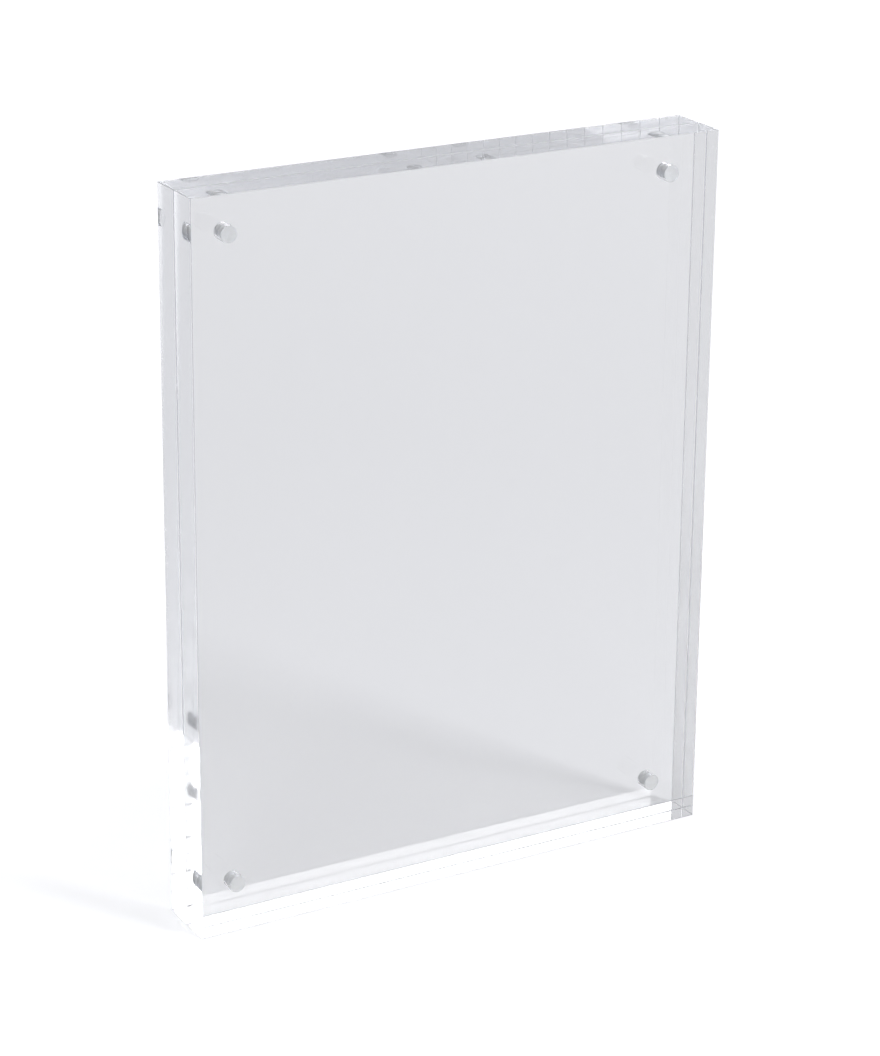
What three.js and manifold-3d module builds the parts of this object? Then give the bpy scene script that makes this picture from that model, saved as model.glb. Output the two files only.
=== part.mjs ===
// Clear block sign holder: two thick acrylic panels that small magnets pull together round a printed sheet.
// Millimetres, +Z up. The origin is under the middle of the block, and the front faces -Y.

import * as THREE from 'three';
import { mergeVertices } from 'three/addons/utils/BufferGeometryUtils.js';
import Module from 'manifold-3d';

// Panels: the size of a letter sheet, cut from thick cast acrylic
const panelWidth = 215.9;
const panelHeight = 279.4;
const panelThickness = 13.1;
const edgeChamfer = 0.2; // polished break on every edge
const sheetGap = 0.3; // slot between the panels, where the sheet is gripped

// Magnets: short axially magnetised cylinders, one pair near each corner
const magnetDiameter = 6;
const magnetLength = 4;
const magnetChamfer = 0.3;
const magnetInsetSide = 17; // magnet axis to the panel's side edge
const magnetInsetEnd = 16; // magnet axis to the panel's top or bottom edge
const magnetRecess = 0.1; // magnet face below the panel's inner face

// Pockets and the glue film on their floors
const pocketClearance = 0.2; // all round the magnet
const glueThickness = 0.2;
const glueMargin = 0.1; // how far the film stops short of the pocket's wall
const seatGap = 0.02; // between pocket floor, film and magnet

// Fineness of round pieces, and how far a cutter starts outside the face it cuts
const roundSegments = 32;
const cutOverrun = 1;

// Places that follow from the sizes above
const pocketRadius = magnetDiameter / 2 + pocketClearance;
const pocketDepth = seatGap + glueThickness + seatGap + magnetLength + magnetRecess;
const innerFaceY = sheetGap / 2;
const panelCentreY = innerFaceY + panelThickness / 2;
const magnetCentreY = innerFaceY + magnetRecess + magnetLength / 2;
const glueCentreY = innerFaceY + pocketDepth - seatGap - glueThickness / 2;
const magnetX = panelWidth / 2 - magnetInsetSide;
const magnetHighZ = panelHeight - magnetInsetEnd;

const halves = [
  { name: 'front', side: -1 },
  { name: 'rear', side: 1 },
];
const corners = [
  { name: 'top_left', x: -magnetX, z: magnetHighZ },
  { name: 'top_right', x: magnetX, z: magnetHighZ },
  { name: 'bottom_left', x: -magnetX, z: magnetInsetEnd },
  { name: 'bottom_right', x: magnetX, z: magnetInsetEnd },
];

const acrylic = new THREE.MeshStandardMaterial({
  color: 0xe6ebef,
  roughness: 0.03,
  metalness: 0,
  transparent: true,
  opacity: 0.35,
});
const nickel = new THREE.MeshStandardMaterial({ color: 0xc4c5c3, roughness: 0.22, metalness: 1 });
const glue = new THREE.MeshStandardMaterial({ color: 0xd9dcdc, roughness: 0.65, metalness: 0 });

const wasm = await Module();
wasm.setup();

// A closed solid from a geometry, with the vertices that its faces share merged
function solidOf(geometry) {
  const bare = geometry.clone();
  bare.deleteAttribute('normal');
  bare.deleteAttribute('uv');
  const merged = mergeVertices(bare);
  return new wasm.Manifold(new wasm.Mesh({
    numProp: 3,
    vertProperties: Float32Array.from(merged.attributes.position.array),
    triVerts: Uint32Array.from(merged.index.array),
  }));
}

function geometryOf(solid) {
  const { vertProperties, triVerts } = solid.getMesh();
  const geometry = new THREE.BufferGeometry();
  geometry.setAttribute('position', new THREE.BufferAttribute(vertProperties, 3));
  geometry.setIndex(new THREE.BufferAttribute(triVerts, 1));
  geometry.computeVertexNormals();
  return geometry;
}

// The panel's outline seen from the front, with its four corners broken
function panelOutline() {
  const halfWidth = panelWidth / 2;
  const halfHeight = panelHeight / 2;
  const outline = new THREE.Shape();
  outline.moveTo(-halfWidth + edgeChamfer, -halfHeight);
  outline.lineTo(halfWidth - edgeChamfer, -halfHeight);
  outline.lineTo(halfWidth, -halfHeight + edgeChamfer);
  outline.lineTo(halfWidth, halfHeight - edgeChamfer);
  outline.lineTo(halfWidth - edgeChamfer, halfHeight);
  outline.lineTo(-halfWidth + edgeChamfer, halfHeight);
  outline.lineTo(-halfWidth, halfHeight - edgeChamfer);
  outline.lineTo(-halfWidth, -halfHeight + edgeChamfer);
  outline.closePath();
  return outline;
}

// A slab about its own centre, upright, with its edges broken
function panelBlank() {
  const blank = new THREE.ExtrudeGeometry(panelOutline(), {
    depth: panelThickness - 2 * edgeChamfer,
    bevelEnabled: true,
    bevelThickness: edgeChamfer,
    bevelSize: edgeChamfer,
    bevelOffset: -edgeChamfer,
    bevelSegments: 1,
  });
  blank.translate(0, 0, edgeChamfer - panelThickness / 2);
  blank.rotateX(Math.PI / 2);
  return blank;
}

// The cutter for one blind pocket, in the panel's own frame. It comes in through the inner face.
function pocketCutter(side, corner) {
  const length = pocketDepth + cutOverrun;
  const cutter = new THREE.CylinderGeometry(pocketRadius, pocketRadius, length, roundSegments);
  const mouthY = panelThickness / 2 + cutOverrun;
  cutter.translate(corner.x, -side * (mouthY - length / 2), corner.z - panelHeight / 2);
  return cutter;
}

function panelGeometry(side) {
  let solid = solidOf(panelBlank());
  for (const corner of corners) {
    solid = solid.subtract(solidOf(pocketCutter(side, corner)));
  }
  return geometryOf(solid);
}

// A short cylinder along Y with both rims broken
function magnetGeometry() {
  const radius = magnetDiameter / 2;
  const half = magnetLength / 2;
  const profile = [
    new THREE.Vector2(0, -half),
    new THREE.Vector2(radius - magnetChamfer, -half),
    new THREE.Vector2(radius, -half + magnetChamfer),
    new THREE.Vector2(radius, half - magnetChamfer),
    new THREE.Vector2(radius - magnetChamfer, half),
    new THREE.Vector2(0, half),
  ];
  return new THREE.LatheGeometry(profile, roundSegments);
}

function glueGeometry() {
  const radius = pocketRadius - glueMargin;
  return new THREE.CylinderGeometry(radius, radius, glueThickness, roundSegments);
}

function namedMesh(name, geometry, material, x, y, z) {
  const mesh = new THREE.Mesh(geometry, material);
  mesh.name = name;
  mesh.position.set(x, y, z);
  return mesh;
}

// One half of the block: a panel with the magnets and glue films in its pockets
function half({ name, side }) {
  const group = new THREE.Group();
  const panelY = side * panelCentreY;
  group.add(namedMesh(`${name}_panel`, panelGeometry(side), acrylic, 0, panelY, panelHeight / 2));
  for (const corner of corners) {
    const magnetName = `${name}_magnet_${corner.name}`;
    const glueName = `${name}_glue_${corner.name}`;
    group.add(namedMesh(magnetName, magnetGeometry(), nickel, corner.x, side * magnetCentreY, corner.z));
    group.add(namedMesh(glueName, glueGeometry(), glue, corner.x, side * glueCentreY, corner.z));
  }
  return group;
}

const signHolder = new THREE.Group();
signHolder.name = 'sign_holder';
signHolder.add(...halves.map(half));

export default signHolder;
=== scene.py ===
import math

import bmesh
import bpy
from mathutils import Euler, Matrix, Vector


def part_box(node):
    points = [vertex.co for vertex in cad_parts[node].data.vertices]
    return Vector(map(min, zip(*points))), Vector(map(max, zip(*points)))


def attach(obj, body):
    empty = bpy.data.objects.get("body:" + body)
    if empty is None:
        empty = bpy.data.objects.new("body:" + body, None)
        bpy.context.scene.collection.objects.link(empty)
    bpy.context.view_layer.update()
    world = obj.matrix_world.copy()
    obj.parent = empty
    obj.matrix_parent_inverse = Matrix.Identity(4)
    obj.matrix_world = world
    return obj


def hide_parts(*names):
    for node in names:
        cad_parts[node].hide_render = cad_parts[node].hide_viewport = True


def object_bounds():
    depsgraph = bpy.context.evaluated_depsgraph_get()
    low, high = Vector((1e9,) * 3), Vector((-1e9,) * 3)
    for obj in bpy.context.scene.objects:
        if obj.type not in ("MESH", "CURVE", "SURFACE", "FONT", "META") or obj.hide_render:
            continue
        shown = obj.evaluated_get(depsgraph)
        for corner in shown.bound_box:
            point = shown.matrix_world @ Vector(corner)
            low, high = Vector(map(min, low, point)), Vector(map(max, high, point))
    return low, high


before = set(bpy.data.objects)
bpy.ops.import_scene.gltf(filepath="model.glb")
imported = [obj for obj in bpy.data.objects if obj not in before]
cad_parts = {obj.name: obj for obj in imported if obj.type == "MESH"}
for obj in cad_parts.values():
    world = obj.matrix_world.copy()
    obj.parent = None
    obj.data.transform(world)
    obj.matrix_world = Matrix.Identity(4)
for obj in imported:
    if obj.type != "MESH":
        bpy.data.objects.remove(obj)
cadLow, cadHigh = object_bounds()
scene = bpy.context.scene
print("frame loaded with", len(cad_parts), "nodes")

mm = 0.001
halves = {"front": -1, "rear": 1}  # which side of the sheet slot each half lies on, along Y
corners = ("top_left", "top_right", "bottom_left", "bottom_right")


# small helpers for shader trees

def newMaterial(name):
    material = bpy.data.materials.new(name)
    material.use_nodes = True
    material.node_tree.nodes.clear()
    return material, material.node_tree


def addNode(tree, kind, **inputs):
    node = tree.nodes.new(kind)
    for name, value in inputs.items():
        node.inputs[name.replace("_", " ")].default_value = value
    return node


def noiseOn(tree, vector, scale, detail, roughness=0.5):
    noise = addNode(tree, "ShaderNodeTexNoise", Scale=scale, Detail=detail, Roughness=roughness)
    tree.links.new(vector, noise.inputs["Vector"])
    return noise.outputs["Fac"]


def ranged(tree, value, source, target):
    node = addNode(tree, "ShaderNodeMapRange")
    node.inputs["From Min"].default_value, node.inputs["From Max"].default_value = source
    node.inputs["To Min"].default_value, node.inputs["To Max"].default_value = target
    tree.links.new(value, node.inputs["Value"])
    return node.outputs["Result"]


def mathOn(tree, operation, first, second):
    node = tree.nodes.new("ShaderNodeMath")
    node.operation = operation
    for socket, value in zip(node.inputs, (first, second)):
        if isinstance(value, float):
            socket.default_value = value
        else:
            tree.links.new(value, socket)
    return node.outputs["Value"]


def bumped(tree, height, strength, distance):
    bump = addNode(tree, "ShaderNodeBump", Strength=strength, Distance=distance)
    tree.links.new(height, bump.inputs["Height"])
    return bump.outputs["Normal"]


def objectCoords(tree):
    return tree.nodes.new("ShaderNodeTexCoord").outputs["Object"]


def outputOf(tree, surface):
    output = tree.nodes.new("ShaderNodeOutputMaterial")
    tree.links.new(surface, output.inputs["Surface"])
    return output


# clear acrylic: each noise below is a scale and a detail, each bump a strength and a height

acrylic = {
    "ior": 1.49,
    "colour": (1.0, 1.0, 1.0, 1.0),
    "tint": (0.90, 0.92, 0.96, 1.0),  # what a long path through the slab leaves
    "tintDensity": 0.8,
}


def acrylicShader(tree, roughness, ior):
    shader = tree.nodes.new("ShaderNodeBsdfPrincipled")
    shader.inputs["Base Color"].default_value = acrylic["colour"]
    shader.inputs["Transmission Weight"].default_value = 1.0
    shader.inputs["IOR"].default_value = ior
    tree.links.new(roughness, shader.inputs["Roughness"])
    return shader


def outputTinted(tree, shader):
    tint = tree.nodes.new("ShaderNodeVolumeAbsorption")
    tint.inputs["Color"].default_value = acrylic["tint"]
    tint.inputs["Density"].default_value = acrylic["tintDensity"]
    output = outputOf(tree, shader.outputs["BSDF"])
    tree.links.new(tint.outputs["Volume"], output.inputs["Volume"])


castFace = {
    "haze": (60.0, 3.0),  # faint wiping marks
    "hazeSpan": (0.4, 0.75),
    "roughness": (0.0, 0.008),
    "swell": (9.0, 1.0),  # slow waves of a cast sheet
    "swellBump": (0.02, 0.2 * mm),
}


def polishedFace():
    material, tree = newMaterial("polishedAcrylicFace")
    coords = objectCoords(tree)
    haze = noiseOn(tree, coords, *castFace["haze"])
    roughness = ranged(tree, haze, castFace["hazeSpan"], castFace["roughness"])
    shader = acrylicShader(tree, roughness, acrylic["ior"])
    swell = noiseOn(tree, coords, *castFace["swell"])
    tree.links.new(bumped(tree, swell, *castFace["swellBump"]), shader.inputs["Normal"])
    outputTinted(tree, shader)
    return material


sawnEdge = {
    "dullSpan": (0.02, -0.108),  # X over which the polish falls off, to the left
    "roughness": (0.0, 0.09),
    "patches": (140.0, 3.0),  # where the polishing wheel missed a little
    "patchSpan": (0.3, 0.7),
    "patchShare": (0.7, 1.0),
    "swell": (16.0, 1.0),
    "swellBump": (0.003, 0.2 * mm),
}


def polishedEdge():
    material, tree = newMaterial("polishedAcrylicEdge")
    coords = objectCoords(tree)
    split = tree.nodes.new("ShaderNodeSeparateXYZ")
    tree.links.new(coords, split.inputs["Vector"])
    dull = ranged(tree, split.outputs["X"], sawnEdge["dullSpan"], sawnEdge["roughness"])
    patches = noiseOn(tree, coords, *sawnEdge["patches"])
    patchy = ranged(tree, patches, sawnEdge["patchSpan"], sawnEdge["patchShare"])
    shader = acrylicShader(tree, mathOn(tree, "MULTIPLY", dull, patchy), acrylic["ior"])
    swell = noiseOn(tree, coords, *sawnEdge["swell"])
    tree.links.new(bumped(tree, swell, *sawnEdge["swellBump"]), shader.inputs["Normal"])
    outputTinted(tree, shader)
    return material


arris = {
    "colour": (0.72, 0.73, 0.75, 1.0),
    "clear": 0.45,  # share of a scraped arris that still lets light through
    "footShadeColour": (0.46, 0.46, 0.47, 1.0),  # front foot arris, darkened as painted contact shade where the block meets the floor
    "footShadeClear": 0.2,
    "scrape": (300.0, 4.0),
    "scrapeSpan": (0.3, 0.7),
    "roughness": (0.4, 0.7),
}


def scrapedArris(name, colour, clear):
    material, tree = newMaterial(name)
    scrape = noiseOn(tree, objectCoords(tree), *arris["scrape"])
    roughness = ranged(tree, scrape, arris["scrapeSpan"], arris["roughness"])
    shader = acrylicShader(tree, roughness, acrylic["ior"])
    shader.inputs["Base Color"].default_value = colour
    shader.inputs["Transmission Weight"].default_value = clear
    outputTinted(tree, shader)
    return material


drilling = {
    "wettedIor": 1.03,  # pocket wall against the clear glue that wets it
    "scuff": (2500.0, 4.0),
    "scuffSpan": (0.3, 0.7),
    "roughness": (0.12, 0.3),
    "scuffBump": (0.05, 0.02 * mm),
}


def drilledPocket(name, ior):
    material, tree = newMaterial(name)
    scuff = noiseOn(tree, objectCoords(tree), *drilling["scuff"])
    roughness = ranged(tree, scuff, drilling["scuffSpan"], drilling["roughness"])
    shader = acrylicShader(tree, roughness, ior)
    tree.links.new(bumped(tree, scuff, *drilling["scuffBump"]), shader.inputs["Normal"])
    outputTinted(tree, shader)
    return material


# nickel plate and cured glue: a cloud is a scale, a detail and a roughness

nickelPlate = {
    "metallic": 1.0,
    "cloud": (700.0, 4.0, 0.5),
    "darkTone": (0.70, 0.70, 0.69, 1.0),
    "paleTone": (0.82, 0.82, 0.81, 1.0),
    "cloudSpan": (0.3, 0.7),
    "roughness": (0.36, 0.5),
    "bump": (0.05, 0.03 * mm),
}

curedGlue = {
    "metallic": 0.0,
    "cloud": (900.0, 5.0, 0.6),
    "darkTone": (0.70, 0.70, 0.69, 1.0),
    "paleTone": (0.94, 0.94, 0.93, 1.0),
    "cloudSpan": (0.2, 0.8),
    "roughness": (0.45, 0.75),
    "bump": (0.3, 0.04 * mm),
}


def cloudedFinish(name, look):
    material, tree = newMaterial(name)
    cloud = noiseOn(tree, objectCoords(tree), *look["cloud"])
    shader = tree.nodes.new("ShaderNodeBsdfPrincipled")
    shader.inputs["Metallic"].default_value = look["metallic"]
    tone = tree.nodes.new("ShaderNodeValToRGB")
    tone.color_ramp.elements[0].color = look["darkTone"]
    tone.color_ramp.elements[1].color = look["paleTone"]
    tree.links.new(cloud, tone.inputs["Fac"])
    tree.links.new(tone.outputs["Color"], shader.inputs["Base Color"])
    tree.links.new(ranged(tree, cloud, look["cloudSpan"], look["roughness"]), shader.inputs["Roughness"])
    tree.links.new(bumped(tree, cloud, *look["bump"]), shader.inputs["Normal"])
    outputOf(tree, shader.outputs["BSDF"])
    return material


finishes = {
    "face": polishedFace(),
    "edge": polishedEdge(),
    "arris": scrapedArris("scrapedArris", arris["colour"], arris["clear"]),
    # painted contact shade: the front foot arris is darker and less clear than the others
    "shadedFootArris": scrapedArris("footShadedArris", arris["footShadeColour"], arris["footShadeClear"]),
    "pocketWall": drilledPocket("drilledPocketWall", drilling["wettedIor"]),
    "pocketFloor": drilledPocket("drilledPocketFloor", acrylic["ior"]),
    "nickel": cloudedFinish("nickelPlate", nickelPlate),
    "glue": cloudedFinish("curedGlue", curedGlue),
}
print("finishes ready:", ", ".join(finishes))


# meshes

def finishPiece(bm, name, half, node, materials):
    mesh = bpy.data.meshes.new(name)
    bmesh.ops.recalc_face_normals(bm, faces=bm.faces[:])
    bm.to_mesh(mesh)
    bm.free()
    for key in materials:
        mesh.materials.append(finishes[key])
    piece = bpy.data.objects.new(name, mesh)
    scene.collection.objects.link(piece)
    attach(piece, half + "_half")
    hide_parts(node)


def middleOf(node):
    low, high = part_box(node)
    return (low + high) / 2


def alongY(place):
    return Matrix.Translation(place) @ Matrix.Rotation(math.radians(90), 4, "X")


panel = {
    "edgeRadius": 0.15 * mm,
    "edgeSteps": 3,
    "footShadeRise": 0.15 * mm,  # how much taller the front foot arris is made, which widens its painted contact shade
    "footReach": 1.5,  # how far back the painted foot shade is looked for, in edge radii
    "sameHeight": 0.01 * mm,
    "pocketSides": 64,
    "pocketRim": 0.1 * mm,  # broken rim of the drilled hole
    "glueMargin": 0.1 * mm,  # pocket wall to glue film
    "seatGap": 0.02 * mm,
    "sharpAngle": math.radians(35),
    "finishes": ("face", "edge", "arris", "pocketWall", "pocketFloor", "shadedFootArris"),
}


def setFinish(face, key, smooth):
    face.material_index = panel["finishes"].index(key)
    face.smooth = smooth


def makePanel(half, side):
    node = half + "_panel"
    bm = slabBlank(node, side)
    inner = min(broadFaces(bm), key=lambda f: abs(f.calc_center_median().y))
    innerY = inner.calc_center_median().y
    border = list(inner.edges)
    bmesh.ops.delete(bm, geom=[inner], context="FACES_ONLY")
    mouths = [pocketMouth(bm, half, corner, innerY) for corner in corners]
    openEdges = border + [e for mouth in mouths for e in mouth]
    filled = bmesh.ops.triangle_fill(bm, edges=openEdges, use_beauty=True, normal=(0, -side, 0))
    for face in (g for g in filled["geom"] if isinstance(g, bmesh.types.BMFace)):
        setFinish(face, "face", False)
    for corner, mouth in zip(corners, mouths):
        sinkPocket(bm, half, side, corner, mouth, innerY)
    bm.normal_update()
    for edge in bm.edges:
        edge.smooth = edge.is_manifold and edge.calc_face_angle() < panel["sharpAngle"]
    finishPiece(bm, node + "_clear", half, node, panel["finishes"])


# the six sides of the slab, from the smallest to the two broad ones
def flatFaces(bm):
    return sorted(bm.faces, key=lambda f: f.calc_area())[-6:]


def broadFaces(bm):
    return flatFaces(bm)[-2:]


# slab with rounded arrises, before its pockets are drilled
def slabBlank(node, side):
    low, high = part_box(node)
    bm = bmesh.new()
    blank = Matrix.Translation((low + high) / 2) @ Matrix.Diagonal((*(high - low), 1.0))
    bmesh.ops.create_cube(bm, size=1.0, matrix=blank)
    bmesh.ops.bevel(
        bm, geom=bm.edges[:], offset=panel["edgeRadius"], offset_type="OFFSET",
        segments=panel["edgeSteps"], profile=0.5, affect="EDGES", material=-1,
    )
    footTop = low.z + panel["edgeRadius"]
    footBack = low.y + panel["footReach"] * panel["edgeRadius"]
    # raise the front foot arris, so that its painted contact shade shows wider
    for vert in bm.verts:
        if side < 0 and vert.co.y < footBack and abs(vert.co.z - footTop) < panel["sameHeight"]:
            vert.co.z += panel["footShadeRise"]
    bm.normal_update()
    flats, broad = flatFaces(bm), broadFaces(bm)
    for face in bm.faces:
        middle = face.calc_center_median()
        # the front foot arris carries painted contact shade
        footShaded = side < 0 and middle.y < footBack and middle.z < footTop + panel["footShadeRise"]
        if face in flats:
            setFinish(face, "face" if face in broad else "edge", False)
        else:
            setFinish(face, "shadedFootArris" if footShaded else "arris", True)
    return bm


def pocketRadius(half, corner):
    low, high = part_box(f"{half}_glue_{corner}")
    return (high.x - low.x) / 2 + panel["glueMargin"]


def pocketMouth(bm, half, corner, innerY):
    place = middleOf(f"{half}_glue_{corner}")
    place.y = innerY
    ring = bmesh.ops.create_circle(
        bm, cap_ends=False, segments=panel["pocketSides"],
        radius=pocketRadius(half, corner) + panel["pocketRim"], matrix=alongY(place),
    )
    return list(dict.fromkeys(e for v in ring["verts"] for e in v.link_edges))  # each once, in order


def sinkPocket(bm, half, side, corner, mouth, innerY):
    low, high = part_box(f"{half}_glue_{corner}")
    centre = (low + high) / 2
    floorY = (high.y if side > 0 else low.y) + side * panel["seatGap"]
    radius = pocketRadius(half, corner)
    narrow = radius / (radius + panel["pocketRim"])
    rimEdges = stepInto(bm, mouth, centre, narrow, side * panel["pocketRim"])
    floorEdges = stepInto(bm, rimEdges, centre, 1.0, floorY - innerY - side * panel["pocketRim"])
    for face in bmesh.ops.contextual_create(bm, geom=floorEdges)["faces"]:
        setFinish(face, "pocketFloor", True)


def stepInto(bm, edges, centre, scale, travel):
    made = bmesh.ops.extrude_edge_only(bm, edges=edges)["geom"]
    verts = [g for g in made if isinstance(g, bmesh.types.BMVert)]
    for face in (g for g in made if isinstance(g, bmesh.types.BMFace)):
        setFinish(face, "pocketWall", True)
    about = Matrix.Translation(-centre)
    bmesh.ops.scale(bm, vec=(scale, 1.0, scale), space=about, verts=verts)
    bmesh.ops.translate(bm, vec=(0.0, travel, 0.0), verts=verts)
    ends = set(verts)
    return [g for g in made if isinstance(g, bmesh.types.BMEdge) and set(g.verts) <= ends]


magnet = {"sides": 64, "rimRadius": 0.3 * mm, "rimSteps": 3, "ending": "_plated", "finish": "nickel"}
glueFilm = {"sides": 48, "rimRadius": 0.06 * mm, "rimSteps": 2, "ending": "_film", "finish": "glue"}
rimAngle = math.radians(60)  # the ends of a disc meet its side at more than this


def makeDisc(half, node, disc):
    low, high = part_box(node)
    radius = (high.x - low.x) / 2
    bm = bmesh.new()
    bmesh.ops.create_cone(
        bm, cap_ends=True, segments=disc["sides"], radius1=radius, radius2=radius,
        depth=high.y - low.y, matrix=alongY((low + high) / 2),
    )
    rims = [e for e in bm.edges if e.calc_face_angle() > rimAngle]
    bmesh.ops.bevel(
        bm, geom=rims, offset=disc["rimRadius"], offset_type="OFFSET",
        segments=disc["rimSteps"], profile=0.5, affect="EDGES", material=-1,
    )
    for face in bm.faces:
        face.smooth = len(face.verts) == 4
    finishPiece(bm, node + disc["ending"], half, node, [disc["finish"]])


for half, side in halves.items():
    makePanel(half, side)
    for corner in corners:
        makeDisc(half, f"{half}_magnet_{corner}", magnet)
        makeDisc(half, f"{half}_glue_{corner}", glueFilm)


# floor, world, lamps and camera

stage = {
    "floorSize": 30.0,
    "floorDrop": 0.1 * mm,  # the block stands on its edges, not on a perfect plane
    "floorColour": (0.79, 0.797, 0.828, 1.0),
    "floorWhite": (0.34, 0.5),  # light added where the camera sees the floor, so that it shows white
    "floorReach": (0.13, 0.3),  # how far from the block it goes from the first to the second
    "floorThroughSlabs": (0.02, 0.06),  # the same, where it is seen through the slabs or in the metal
    "slabsReach": (0.5, 1.2),  # and over what distance
    "white": (1.0, 1.0, 1.0, 1.0),
    "skyForLamps": 0.71,
    "skyAcross": (0.65, 1.0),  # the sky that metal and glass show, white on the right
    "skyTurn": (-0.2, 0.35),  # where left passes into right, as the X of a direction
    "skyUpward": (0.8, 1.0),  # share of that sky left at the horizon, and above it
    "horizonTurn": (0.26, 0.38),  # where it clears, as the Z of a direction
    "skyHue": (0.975, 0.983, 1.02, 1.0),  # cool, as the floor is
}


# the rays by which glass and metal show what is round them
def shownRays(tree):
    path = tree.nodes.new("ShaderNodeLightPath").outputs
    bounced = mathOn(tree, "MAXIMUM", path["Is Glossy Ray"], path["Is Transmission Ray"])
    return mathOn(tree, "MULTIPLY", bounced, mathOn(tree, "LESS_THAN", path["Diffuse Depth"], 0.5))


# one strength for the rays that light the object, one for the camera, one for what glass and metal show
def shownStrength(tree, lighting, seen, throughSlabs):
    path = tree.nodes.new("ShaderNodeLightPath").outputs
    shown = shownRays(tree)
    rest = mathOn(tree, "SUBTRACT", mathOn(tree, "SUBTRACT", 1.0, path["Is Camera Ray"]), shown)
    strength = mathOn(tree, "MULTIPLY", path["Is Camera Ray"], seen)
    strength = mathOn(tree, "ADD", strength, mathOn(tree, "MULTIPLY", shown, throughSlabs))
    return mathOn(tree, "ADD", strength, mathOn(tree, "MULTIPLY", rest, lighting))


def floorMaterial():
    material, tree = newMaterial("paleFloor")
    diffuse = addNode(tree, "ShaderNodeBsdfDiffuse", Color=stage["floorColour"])
    light = tree.nodes.new("ShaderNodeEmission")
    away = tree.nodes.new("ShaderNodeVectorMath")
    away.operation = "LENGTH"
    tree.links.new(objectCoords(tree), away.inputs[0])
    seen = ranged(tree, away.outputs["Value"], stage["floorReach"], stage["floorWhite"])
    through = ranged(tree, away.outputs["Value"], stage["slabsReach"], stage["floorThroughSlabs"])
    tree.links.new(shownStrength(tree, 0.0, seen, through), light.inputs["Strength"])
    lifted = tree.nodes.new("ShaderNodeAddShader")
    tree.links.new(diffuse.outputs["BSDF"], lifted.inputs[0])
    tree.links.new(light.outputs["Emission"], lifted.inputs[1])
    outputOf(tree, lifted.outputs["Shader"])
    return material


def makeFloor():
    bm = bmesh.new()
    bmesh.ops.create_grid(
        bm, x_segments=2, y_segments=2, size=stage["floorSize"] / 2,
        matrix=Matrix.Translation((0.0, 0.0, -stage["floorDrop"])),
    )
    mesh = bpy.data.meshes.new("studioFloor")
    bm.to_mesh(mesh)
    bm.free()
    mesh.materials.append(floorMaterial())
    floor = bpy.data.objects.new("studioFloor", mesh)
    scene.collection.objects.link(floor)


def makeWorld():
    world = bpy.data.worlds.new("studioSky")
    world.use_nodes = True
    tree = world.node_tree
    tree.nodes.clear()
    direction = tree.nodes.new("ShaderNodeTexCoord").outputs["Generated"]
    split = tree.nodes.new("ShaderNodeSeparateXYZ")
    tree.links.new(direction, split.inputs["Vector"])
    across = ranged(tree, split.outputs["X"], stage["skyTurn"], stage["skyAcross"])
    upward = ranged(tree, split.outputs["Z"], stage["horizonTurn"], stage["skyUpward"])
    shown = mathOn(tree, "MULTIPLY", across, upward)
    hue = addNode(tree, "ShaderNodeMixRGB", Color1=stage["white"], Color2=stage["skyHue"])
    tree.links.new(shownRays(tree), hue.inputs["Fac"])
    sky = tree.nodes.new("ShaderNodeBackground")
    tree.links.new(hue.outputs["Color"], sky.inputs["Color"])
    tree.links.new(shownStrength(tree, stage["skyForLamps"], 1.0, shown), sky.inputs["Strength"])
    output = tree.nodes.new("ShaderNodeOutputWorld")
    tree.links.new(sky.outputs["Background"], output.inputs["Surface"])
    scene.world = world


softboxes = {
    "frontRight": {"azimuth": 30, "elevation": 46, "distance": 2.2, "size": (0.4, 0.5), "power": 11.5},
    "frontRightLow": {"azimuth": 30, "elevation": 27, "distance": 2.2, "size": (0.6, 0.6), "power": 6.8},
    "backRight": {"azimuth": 150, "elevation": 28, "distance": 2.5, "size": (1.35, 0.85), "power": 0.6},
}


# lamps and camera look back from this azimuth, where 0 is the front, and this elevation
def aimed(azimuth, elevation):
    return Euler((math.radians(90 - elevation), 0.0, math.radians(azimuth))).to_matrix().to_4x4()


def makeSoftbox(name, box):
    lamp = bpy.data.lights.new(name + "Softbox", "AREA")
    lamp.shape = "RECTANGLE"
    lamp.size, lamp.size_y = box["size"]
    lamp.energy = box["power"]
    lampObject = bpy.data.objects.new(name + "Softbox", lamp)
    aim = aimed(box["azimuth"], box["elevation"])
    middle = (cadLow + cadHigh) / 2
    reach = aim @ Vector((0.0, 0.0, box["distance"]))
    lampObject.matrix_world = Matrix.Translation(middle + reach) @ aim
    scene.collection.objects.link(lampObject)


view = {
    "place": (-549.1 * mm, -949.5 * mm, 550.7 * mm),
    "azimuth": -29.94,
    "elevation": 18.75,
    "roll": 0.55,
    "focalPixels": 3154.0,
    "frameHeight": 1056.0,
    "shiftY": -0.1,
    "sensor": 36.0,
}


def makeCamera():
    data = bpy.data.cameras.new("photoView")
    data.sensor_width = view["sensor"]
    data.lens = view["focalPixels"] * view["sensor"] / view["frameHeight"]
    data.shift_y = view["shiftY"]
    camera = bpy.data.objects.new("photoView", data)
    roll = Matrix.Rotation(math.radians(view["roll"]), 4, "Z")
    aim = aimed(view["azimuth"], view["elevation"])
    camera.matrix_world = Matrix.Translation(view["place"]) @ aim @ roll
    scene.collection.objects.link(camera)
    scene.camera = camera


makeFloor()
makeWorld()
for name, box in softboxes.items():
    makeSoftbox(name, box)
makeCamera()
scene.view_settings.view_transform = "Standard"
lightBounces = 128  # light runs many times from wall to wall inside the slabs
scene.cycles.blur_glossy = 0.0  # keeps the light that the floor gets through the slabs
scene.cycles.max_bounces = lightBounces
scene.cycles.glossy_bounces = lightBounces
scene.cycles.transmission_bounces = lightBounces
print("stage, lamps and camera ready")
